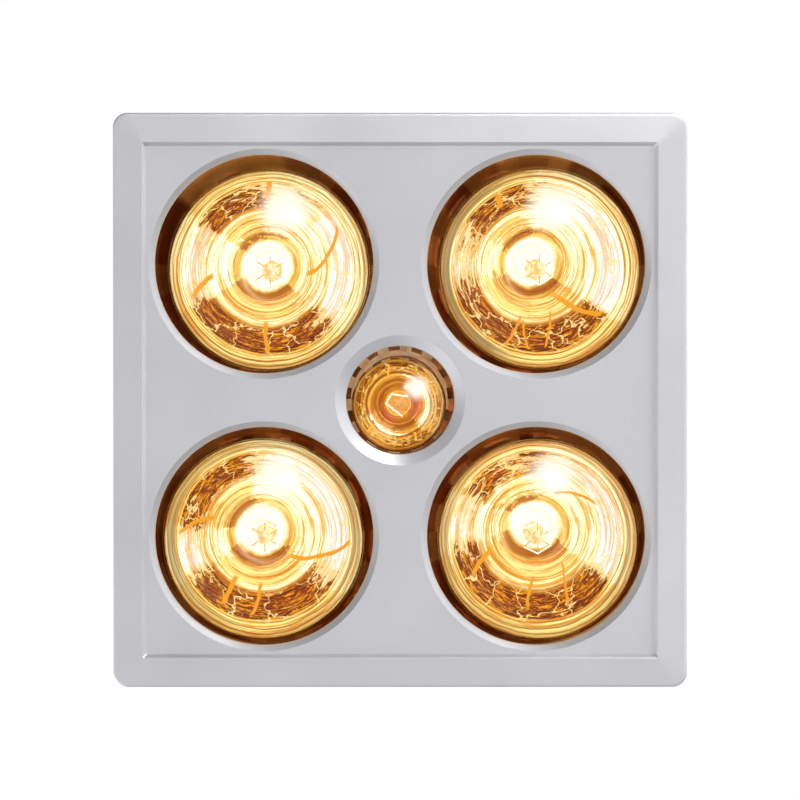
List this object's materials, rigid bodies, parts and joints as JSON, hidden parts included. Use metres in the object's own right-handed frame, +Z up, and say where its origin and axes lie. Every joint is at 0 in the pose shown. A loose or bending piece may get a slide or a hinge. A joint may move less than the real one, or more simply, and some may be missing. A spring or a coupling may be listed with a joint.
{
  "type": "bathroom ceiling heater",
  "caption": "Recessed square bathroom ceiling unit with infrared heat lamps, a centre light and a ducted extraction blower behind a silver fascia.",
  "frame": {"origin": "centre of the ceiling cut-out, level with the underside of the ceiling board", "axes": "+Z up into the ceiling void, away from the room; +Y towards the duct collar; +X towards the cable gland"},
  "size_m": [0.35, 0.35, 0.2548],
  "materials": {
    "silver_paint": "satin silver paint on a moulding",
    "zinc_sheet": "zinc-coated sheet",
    "bright_aluminium": "bright polished",
    "clear_glass": "clear blown glass, mirrored behind",
    "cap_brass": "bright lamp cap",
    "porcelain": "white glaze",
    "tungsten": "glowing wire",
    "black_plastic": "moulded",
    "grey_plastic": "moulded",
    "white_plastic": "moulded",
    "dark_steel": "oiled laminations",
    "copper_winding": "enamelled wire",
    "spring_steel": "bright"
  },
  "bodies": {
    "housing": {"housing_shell": "zinc_sheet", "housing_lid": "zinc_sheet", "reflector_tray": "bright_aluminium", "reflector_cup_1": "bright_aluminium", "reflector_cup_2": "bright_aluminium", "reflector_cup_3": "bright_aluminium", "reflector_cup_4": "bright_aluminium", "centre_reflector": "bright_aluminium", "lampholder_1": "porcelain", "lampholder_2": "porcelain", "lampholder_3": "porcelain", "lampholder_4": "porcelain", "light_lampholder": "porcelain", "centre_bridge": "zinc_sheet", "scroll_casing": "zinc_sheet", "inlet_ring": "black_plastic", "motor_stator": "dark_steel", "motor_coil": "copper_winding", "lower_bearing": "zinc_sheet", "upper_bearing": "zinc_sheet", "motor_cover": "zinc_sheet", "duct_spigot": "grey_plastic", "flap_pin": "spring_steel", "terminal_box": "white_plastic", "terminal_cover": "white_plastic", "terminal_block": "grey_plastic", "cable_gland": "black_plastic", "clamp_screw_1": "black_plastic", "clamp_screw_2": "black_plastic"},
    "fascia": {"fascia_panel": "silver_paint", "fascia_clip_1": "spring_steel", "fascia_clip_2": "spring_steel", "fascia_clip_3": "spring_steel", "fascia_clip_4": "spring_steel"},
    "heat_lamp_1": {"heat_lamp_glass_1": "clear_glass", "heat_lamp_cap_1": "cap_brass", "heat_lamp_stem_1": "clear_glass", "heat_lamp_filament_1": "tungsten"},
    "heat_lamp_2": {"heat_lamp_glass_2": "clear_glass", "heat_lamp_cap_2": "cap_brass", "heat_lamp_stem_2": "clear_glass", "heat_lamp_filament_2": "tungsten"},
    "heat_lamp_3": {"heat_lamp_glass_3": "clear_glass", "heat_lamp_cap_3": "cap_brass", "heat_lamp_stem_3": "clear_glass", "heat_lamp_filament_3": "tungsten"},
    "heat_lamp_4": {"heat_lamp_glass_4": "clear_glass", "heat_lamp_cap_4": "cap_brass", "heat_lamp_stem_4": "clear_glass", "heat_lamp_filament_4": "tungsten"},
    "light_lamp": {"light_lamp_glass": "clear_glass", "light_lamp_cap": "cap_brass", "light_lamp_stem": "clear_glass", "light_lamp_filament": "tungsten"},
    "fan": {"impeller": "black_plastic", "rotor_shaft": "dark_steel"},
    "flap_left": {"backdraft_flap_left": "grey_plastic"},
    "flap_right": {"backdraft_flap_right": "grey_plastic"},
    "clamp_1": {"clamp_bracket_1": "zinc_sheet"},
    "clamp_2": {"clamp_bracket_2": "zinc_sheet"}
  },
  "joints": [
    {"name": "fascia_pull", "type": "slide", "parent": "housing", "child": "fascia", "axis": [0, 0, -1], "range_m": [0, 0.06]},
    {"name": "heat_lamp_1_release", "type": "slide", "parent": "housing", "child": "heat_lamp_1", "axis": [0, 0, -1], "range_m": [0, 0.185]},
    {"name": "heat_lamp_2_release", "type": "slide", "parent": "housing", "child": "heat_lamp_2", "axis": [0, 0, -1], "range_m": [0, 0.185]},
    {"name": "heat_lamp_3_release", "type": "slide", "parent": "housing", "child": "heat_lamp_3", "axis": [0, 0, -1], "range_m": [0, 0.185]},
    {"name": "heat_lamp_4_release", "type": "slide", "parent": "housing", "child": "heat_lamp_4", "axis": [0, 0, -1], "range_m": [0, 0.185]},
    {"name": "light_lamp_release", "type": "slide", "parent": "housing", "child": "light_lamp", "axis": [0, 0, -1], "range_m": [0, 0.11]},
    {"name": "fan_spin", "type": "hinge", "parent": "housing", "child": "fan", "pos_m": [-0.025, 0, 0.15], "axis": [0, 0, 1], "continuous": true},
    {"name": "flap_left_swing", "type": "hinge", "parent": "housing", "child": "flap_left", "pos_m": [0.0315, 0.165, 0.1335], "axis": [0, 0, -1], "range_deg": [0, 70], "stiffness_Nm_per_rad": 0.002, "springref_deg": -11.46},
    {"name": "flap_right_swing", "type": "hinge", "parent": "housing", "child": "flap_right", "pos_m": [0.0315, 0.165, 0.1335], "axis": [0, 0, 1], "range_deg": [0, 70], "stiffness_Nm_per_rad": 0.002, "springref_deg": -11.46},
    {"name": "clamp_1_slide", "type": "slide", "parent": "housing", "child": "clamp_1", "axis": [0, 0, 1], "range_m": [-0.005, 0.028]},
    {"name": "clamp_2_slide", "type": "slide", "parent": "housing", "child": "clamp_2", "axis": [0, 0, 1], "range_m": [-0.005, 0.028]}
  ]
}
